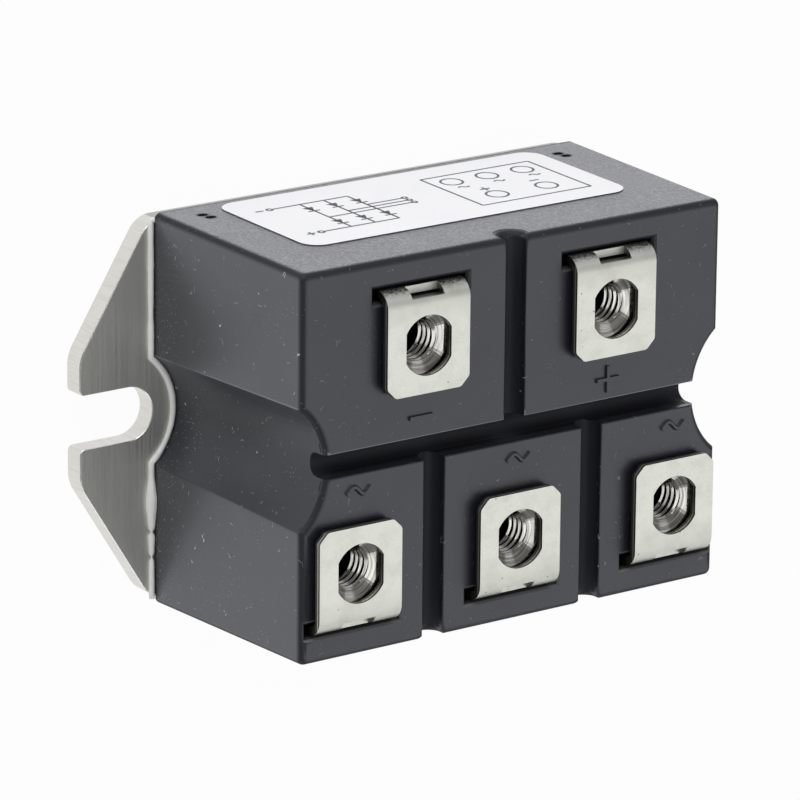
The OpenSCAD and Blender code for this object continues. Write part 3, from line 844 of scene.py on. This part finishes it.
class MODULE_OT_seal_bead(bpy.types.Operator):
    """Lays the uneven silicone bead round the foot of the housing"""

    bl_idname = "module.seal_bead"
    bl_label = "Sealing bead"

    def execute(self, context):
        s, lift_share = sizes(), 0.3
        line = bpy.data.curves.new("bead_line", "CURVE")
        line.dimensions = "3D"
        line.bevel_depth = s.bead_r
        line.bevel_resolution = 3
        spots = self.outline()
        spline = line.splines.new("POLY")
        spline.points.add(len(spots) - 1)
        for point, (x, y) in zip(spline.points, spots):
            point.co = (x, y, PLATE_TOP + lift_share * s.bead_r, 1)
            point.radius = self.swell(x, y)
        spline.use_cyclic_u = True
        carrier = bpy.data.objects.new("bead_line", line)
        bm = bmesh.new()
        bm.from_mesh(carrier.to_mesh())
        bpy.data.objects.remove(carrier)
        bmesh.ops.remove_doubles(bm, verts=bm.verts, dist=0.001 * MM)
        all_outwards(bm)
        piece(bm, "silicone_bead", [silicone_rubber()], ["seal_bead"], crease=80)
        return {"FINISHED"}

    def outline(self):
        """Points along the foot of the housing: straight sides, and an arc round each recess."""
        s, inset = sizes(), 0.1 * MM
        end, side, r = HALF_LENGTH + s.bead_out, PLATE_SIDE - inset, s.recess_foot_r - s.bead_out
        turn = math.acos((s.recess_x - end) / r)
        notch = r * math.sin(turn)
        arc_steps = round(2 * turn * r / s.bead_step)
        half = [(end, -side), (end, -notch)]
        half += [
            (s.recess_x - r * math.cos(a), r * math.sin(a))
            for a in (turn * (2 * i / arc_steps - 1) for i in range(1, arc_steps))
        ]
        half += [(end, notch), (end, side)]
        corners = half + [(-x, -y) for x, y in half]
        spots = []
        for start, stop in zip(corners, corners[1:] + corners[:1]):
            run = math.dist(start, stop)
            steps = max(1, round(run / s.bead_step))
            spots += [tuple(a + (b - a) * i / steps for a, b in zip(start, stop)) for i in range(steps)]
        return spots

    def swell(self, x, y):
        """How far the bead swells: a slow wander, one long blob and two pinches at the left end."""
        seed, slow, fine, side_share = studio().bead_seed, 3 * MM, 0.8 * MM, 0.75
        slow_swell, fine_swell = 0.28, 0.1
        blob_y, blob_reach, blob_swell = -10.0, 2.0, 1.1
        pinches, pinch_reach, pinch_depth = (-13.2, -16.0), 0.28, 0.75
        wander = noise.noise(Vector((x / slow, y / slow, seed)))
        ripple = noise.noise(Vector((x / fine, y / fine, seed + 10)))
        width = 1 + slow_swell * wander + fine_swell * ripple
        if abs(x) < HALF_LENGTH - MM and abs(y) > PLATE_SIDE - MM:
            return side_share * width
        if x < 0:
            width += blob_swell * math.exp(-((y / MM - blob_y) / blob_reach) ** 2)
            for pinch in pinches:
                width *= 1 - pinch_depth * math.exp(-((y / MM - pinch) / pinch_reach) ** 2)
        return width


class MODULE_OT_terminals(bpy.types.Operator):
    """Rounds the edges of the bent strips and gives their cut edges a finish of their own"""

    bl_idname = "module.terminals"
    bl_label = "Terminals"

    def execute(self, context):
        strip, edge = matt_nickel(), sheared_nickel()
        # Just over the strip's thickness, and where its tip corners lie, from the tip and from the middle
        past_strip, tip_reach, off_hole = 0.85 * MM, 2 * MM, 3.2 * MM
        # The least rise of a corner, and the most that an upright face leans
        least_rise, lean = 0.5 * MM, 0.3
        for node in TERMINALS:
            bm = merged_copy(node)
            low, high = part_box(node)
            under_tab = high.z - past_strip
            tip = min((low.y, high.y), key=abs)
            corners = [
                e for e in sharp_edges(bm, degrees=20)
                if rise(e) > least_rise
                and all(abs(v.co.y - tip) < tip_reach and v.co.z > under_tab for v in e.verts)
                and abs(e.verts[0].co.x - middle(node).x) > off_hole
            ]
            if len(corners) != 4:
                raise RuntimeError(f"{node} has {len(corners)} tip corners")
            round_edges(bm, corners, sizes().strip_corner, segments=4)
            round_edges(bm, sharp_edges(bm, degrees=40), sizes().strip_edge, segments=2)
            for face in bm.faces:
                upright = abs(face.normal.z) < lean and face.calc_center_median().z > under_tab
                face.material_index = 1 if upright or abs(face.normal.x) > SQUARE else 0
            weigh_normals(piece(bm, node + "_strip", [strip, edge], [node]))
        return {"FINISHED"}


class MODULE_OT_nuts(bpy.types.Operator):
    """Cuts the thread into the captive nuts"""

    bl_idname = "module.nuts"
    bl_label = "Nuts"

    def execute(self, context):
        steel = plated_steel()
        low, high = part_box(NUTS[0])
        first = middle(NUTS[0])
        model = self.open_nut(first)
        self.add_thread(model, first, low.z + sizes().sink, high.z - sizes().sink)
        for way in (-1, 1):
            rims = [e for e in model.edges if e.is_boundary and way * (e.verts[0].co.z - first.z) > 0]
            bmesh.ops.bridge_loops(model, edges=rims)
        if any(e.is_boundary for e in model.edges):
            raise RuntimeError("the threaded nut isn't closed")
        all_outwards(model)
        for node in NUTS:
            bm = model.copy()
            bmesh.ops.translate(bm, verts=bm.verts, vec=middle(node) - first)
            piece(bm, node + "_threaded", [steel], [node], crease=25)
        model.free()
        return {"FINISHED"}

    def open_nut(self, centre):
        """The nut without its plain bore and countersinks."""
        bm = merged_copy(NUTS[0])
        slack = 0.05 * MM
        reach = sizes().sink_r + slack
        inner = [f for f in bm.faces if all((v.co - centre).xy.length < reach for v in f.verts)]
        bmesh.ops.delete(bm, geom=inner, context="FACES")
        return bm

    def add_thread(self, bm, centre, low, high):
        """The thread's own surface, one turn wound on the other and cut level at both ends."""
        s = sizes()
        pitch, root, crest = s.thread_pitch, s.thread_root, s.thread_crest
        turns, steps = 8, 72
        start = centre - Vector((0, 0, turns * pitch / 2))
        # Radius and share of the pitch
        profile = [(crest, 0), (crest, 0.25), (root, 0.5625), (root, 0.6875), (crest, 1.0)]
        thread = bmesh.new()
        verts = [thread.verts.new(start + Vector((r, 0, t * pitch))) for r, t in profile]
        edges = [thread.edges.new(pair) for pair in zip(verts, verts[1:])]
        bmesh.ops.spin(
            thread, geom=verts + edges, cent=centre, axis=(0, 0, 1), angle=math.tau * turns,
            steps=steps * turns, dvec=(0, 0, pitch / steps),
        )
        bmesh.ops.remove_doubles(thread, verts=thread.verts, dist=0.002 * MM)
        for way, z in ((1, high), (-1, low)):
            bmesh.ops.bisect_plane(
                thread, geom=[*thread.verts, *thread.edges, *thread.faces], dist=1e-7,
                plane_co=(0, 0, z), plane_no=(0, 0, way), clear_outer=True,
            )
        mesh = bpy.data.meshes.new("thread")
        thread.to_mesh(mesh)
        thread.free()
        bm.from_mesh(mesh)
        bpy.data.meshes.remove(mesh)


class MODULE_OT_label(bpy.types.Operator):
    """Gives the label its film and prints a plain circuit plan and a terminal plan on it"""

    bl_idname = "module.label"
    bl_label = "Label"

    def execute(self, context):
        film = merged_copy("label")
        out = self.place().to_3x3() @ Vector((0, 0, 1))
        for face in film.faces:
            face.material_index = 0 if abs(face.normal.dot(out)) > SQUARE else 1
        # The film's cut edges are dark grey: painted shade along the label's border
        edge = speckled("label_border_painted_shade", colours().film_edge_shade, roughness=0.6, grain_mm=0.3)
        piece(film, "label_film", [label_film(), edge], ["label"])
        bm = bmesh.new()
        self.print_circuit(bm)
        self.print_terminals(bm)
        all_outwards(bm)
        ink = speckled("label_ink", colours().ink, roughness=0.5, grain_mm=0.3)
        piece(bm, "label_print", [ink])
        return {"FINISHED"}

    def place(self):
        """The label's own plane: across to the right, up towards the terminal face, and out of the film."""
        mesh = NODES["label"].data
        outer = [p for p in mesh.polygons if p.normal.y > SQUARE]
        out = outer[0].normal.copy()
        across = Vector((1, 0, 0))
        up = across.cross(out) * -1
        spot = mesh.vertices[outer[0].vertices[0]].co
        centre = middle("label")
        centre -= out * (centre - spot).dot(out)
        turn = Matrix((across, up, out)).transposed().to_4x4()
        return Matrix.Translation(centre) @ turn

    def ink(self, bm, path, steps=1):
        """One printed stroke."""
        s = sizes()
        stroke(bm, path, s.ink_stroke, s.ink_stroke, s.ink_t, self.place(), steps)

    def lines(self, bm, *pairs):
        """Straight strokes between points in millimetres."""
        for start, end in pairs:
            self.ink(bm, straight(Vector(start) * MM, Vector(end) * MM))

    def ring(self, bm, spot, r):
        """A circle, its middle and radius in millimetres."""
        circle = lambda t: Vector((math.cos(math.tau * t), math.sin(math.tau * t)))
        self.ink(bm, lambda t: Vector(spot) * MM + r * MM * circle(t), steps=20)

    def diode(self, bm, x, y):
        """A filled triangle on its bar."""
        place, half_wide, high, half_bar = self.place(), 0.65, 1.3, 0.7
        corners = ((-half_wide, high / 2), (half_wide, high / 2), (0, -high / 2))
        verts = [bm.verts.new(place @ Vector(((x + a) * MM, (y + b) * MM, 0))) for a, b in corners]
        made = bmesh.ops.extrude_face_region(bm, geom=[bm.faces.new(verts)])["geom"]
        lifted = [v for v in made if isinstance(v, bmesh.types.BMVert)]
        bmesh.ops.translate(bm, verts=lifted, vec=place.to_3x3() @ Vector((0, 0, sizes().ink_t)))
        self.lines(bm, ((x - half_bar, y - high / 2), (x + half_bar, y - high / 2)))

    def print_circuit(self, bm):
        """Six diodes between two rails, with a line out from the middle of each pair."""
        low, high, left, right = -4.85, 4.55, -16.0, -6.6
        columns, diode_rows = (-12.6, -9.6, right), (-2.7, 2.5)
        tap_y, tap_step, tap_end = 0.05, 0.9, -2.2
        ring_off, rail_ring_r, tap_ring_r = 0.35, 0.32, 0.28
        sign_x, half_sign = left - 1.6, 0.5
        for y in (low, high):
            self.lines(bm, ((left, y), (right, y)), ((sign_x - half_sign, y), (sign_x + half_sign, y)))
            self.ring(bm, (left - ring_off, y), rail_ring_r)
        self.lines(bm, ((sign_x, low - half_sign), (sign_x, low + half_sign)))
        for i, x in enumerate(columns):
            tap = tap_y + tap_step * (i - 1)
            self.lines(bm, ((x, low), (x, high)), ((x, tap), (tap_end, tap)))
            self.ring(bm, (tap_end + ring_off, tap), tap_ring_r)
            for y in diode_rows:
                self.diode(bm, x, y)

    def print_terminals(self, bm):
        """The outline of the terminal face with its five screws and their signs."""
        left, right, low, high = 3.5, 17.5, -5.6, 5.6
        centre, dc_off, ac_off, screw_r, half_sign = (left + right) / 2, 3.2, 4.6, 1.2, 0.6
        dc_y, dc_sign_y, ac_y, ac_sign_y = -2.9, -0.7, 3.3, 1.1
        wave_reach, wave_swing = 1.3 * MM, 0.22 * MM
        plus_x, minus_x = centre - dc_off, centre + dc_off
        corners = [(left, low), (right, low), (right, high), (left, high)]
        self.lines(bm, *zip(corners, corners[1:] + corners[:1]))
        for x in (plus_x, minus_x):
            self.ring(bm, (x, dc_y), screw_r)
            self.lines(bm, ((x - half_sign, dc_sign_y), (x + half_sign, dc_sign_y)))
        self.lines(bm, ((plus_x, dc_sign_y - half_sign), (plus_x, dc_sign_y + half_sign)))
        for x in (centre - ac_off, centre, centre + ac_off):
            self.ring(bm, (x, ac_y), screw_r)
            self.ink(bm, wave(Vector((x, ac_sign_y)) * MM, wave_reach, wave_swing), steps=12)


class MODULE_OT_bridge(bpy.types.Operator):
    """Gives the soldered diode bridge and the gel inside their finishes"""

    bl_idname = "module.bridge"
    bl_label = "Diode bridge"

    def execute(self, context):
        c = colours()
        finishes = {
            "copper": speckled("rolled_copper", c.copper, roughness=0.34, grain_mm=0.6, metallic=1.0),
            "ceramic": speckled("white_alumina", c.alumina, roughness=0.55, grain_mm=0.25, depth=0.95),
            "chip": speckled("metallised_silicon", c.silicon, roughness=0.3, grain_mm=0.8, metallic=0.6),
            "gel": speckled("silicone_gel", c.gel, roughness=0.2, grain_mm=4.0, depth=0.95),
        }
        for part in frame["record"]["subparts"]:
            finish = finishes.get(part["material_slot"])
            if finish:
                mesh = NODES[part["node"]].data
                mesh.materials.clear()
                mesh.materials.append(finish)
        return {"FINISHED"}


class MODULE_OT_stage(bpy.types.Operator):
    """Sets the camera, the floor, the lights and the even surrounding light"""

    bl_idname = "module.stage"
    bl_label = "Studio"

    def execute(self, context):
        self.set_camera(context.scene)
        self.set_floor()
        self.set_world(context.scene)
        s = studio()
        self.add_light("key_light", (-0.35, 1.0, 0.25), (1.4, 0.8), s.key)
        self.add_light("front_light", (0.65, -0.34, 0.91), (0.9, 0.9), s.front)
        self.add_light("side_light", (0.6, 0.6, 0.65), (0.8, 0.8), s.side)
        self.add_light("top_light", (-0.3, -0.25, 1.15), (1.0, 1.0), s.top)
        self.add_light("low_light", (0.55, -0.85, 0.4), (0.8, 0.5), s.low)
        self.add_light("left_light", (-0.6, -0.9, 0.25), (0.9, 0.5), s.left)
        context.scene.view_settings.view_transform = "Standard"
        return {"FINISHED"}

    def set_camera(self, scene):
        s = studio()
        data = bpy.data.cameras.new("photo_camera")
        data.sensor_width = 36
        data.lens = s.lens
        data.clip_start, data.clip_end = 0.01, 20
        camera = bpy.data.objects.new("photo_camera", data)
        sight = (Vector(s.aim) - Vector(s.place)).to_track_quat("-Z", "Y")
        camera.rotation_mode = "QUATERNION"
        camera.location = s.place
        camera.rotation_quaternion = sight @ Quaternion((0, 0, 1), s.roll)
        scene.collection.objects.link(camera)
        scene.camera = camera

    def set_floor(self):
        bm = bmesh.new()
        under = Matrix.Translation((0, 0, -studio().floor_gap))
        bmesh.ops.create_grid(bm, x_segments=1, y_segments=1, size=studio().floor_reach, matrix=under)
        floor = to_object(bm, "floor")
        floor.data.materials.append(self.white_for_the_camera())

    def white_for_the_camera(self):
        """Pale paper that looks white to the camera and in reflections. It still takes the shadow, and is
        clear from below."""
        material, add, _ = new_material("white_paper")
        whiteness = 0.95
        rays = add("LightPath").outputs
        seen = rays["Is Camera Ray"]
        for other in ("Is Glossy Ray", "Is Transmission Ray"):
            seen = add("Math", MAXIMUM, seen, rays[other])
        share = add("Math", MULTIPLY, seen, whiteness)
        paper = add("BsdfDiffuse", Color=colours().floor)
        white = add("Emission", Color=(1, 1, 1, 1), Strength=1.0)
        mixed = add("MixShader", None, share, paper, white)
        behind = add("NewGeometry").outputs["Backfacing"]
        one_sided = add("MixShader", None, behind, mixed, add("BsdfTransparent"))
        add("OutputMaterial", Surface=one_sided)
        return material

    def set_world(self, scene):
        world = bpy.data.worlds.new("even_light")
        world.use_nodes = True
        world.node_tree.nodes.clear()
        add = partial(add_node, world.node_tree)
        even = add("Background", Color=(1, 1, 1, 1), Strength=studio().world)
        white = add("Background", Color=(1, 1, 1, 1), Strength=1.0)
        seen = add("LightPath").outputs["Is Camera Ray"]
        add("OutputWorld", Surface=add("MixShader", None, seen, even, white))
        scene.world = world

    def add_light(self, name, place, spread, power):
        data = bpy.data.lights.new(name, "AREA")
        data.shape = "RECTANGLE"
        data.size, data.size_y = spread
        data.energy = power
        lamp = bpy.data.objects.new(name, data)
        lamp.location = place
        lamp.rotation_mode = "QUATERNION"
        lamp.rotation_quaternion = (-Vector(place)).to_track_quat("-Z", "Y")
        lamp.visible_camera = False
        bpy.context.scene.collection.objects.link(lamp)


PIECES = (
    MODULE_OT_stage,
    MODULE_OT_housing,
    MODULE_OT_base_plate,
    MODULE_OT_seal_bead,
    MODULE_OT_terminals,
    MODULE_OT_nuts,
    MODULE_OT_label,
    MODULE_OT_bridge,
)


class MODULE_PT_sidebar(bpy.types.Panel):
    """Lists the steps and the values they use"""

    bl_idname = "MODULE_PT_sidebar"
    bl_label = "Bridge rectifier module"
    bl_space_type = "VIEW_3D"
    bl_region_type = "UI"
    bl_category = "Rectifier"

    def draw(self, context):
        for operator in PIECES:
            self.layout.operator(operator.bl_idname)
        for group in (context.scene.module_sizes, context.scene.module_colours, context.scene.module_studio):
            box = self.layout.box()
            for key in group.__annotations__:
                box.prop(group, key)


CLASSES = (ModuleSizes, ModuleColours, ModuleStudio, *PIECES, MODULE_PT_sidebar)


def register():
    for cls in CLASSES:
        bpy.utils.register_class(cls)
    bpy.types.Scene.module_sizes = PointerProperty(type=ModuleSizes)
    bpy.types.Scene.module_colours = PointerProperty(type=ModuleColours)
    bpy.types.Scene.module_studio = PointerProperty(type=ModuleStudio)


def unregister():
    del bpy.types.Scene.module_studio
    del bpy.types.Scene.module_colours
    del bpy.types.Scene.module_sizes
    for cls in reversed(CLASSES):
        bpy.utils.unregister_class(cls)


def main():
    register()
    for operator in PIECES:
        group, step = operator.bl_idname.split(".")
        getattr(getattr(bpy.ops, group), step)()


if __name__ == "__main__":
    main()
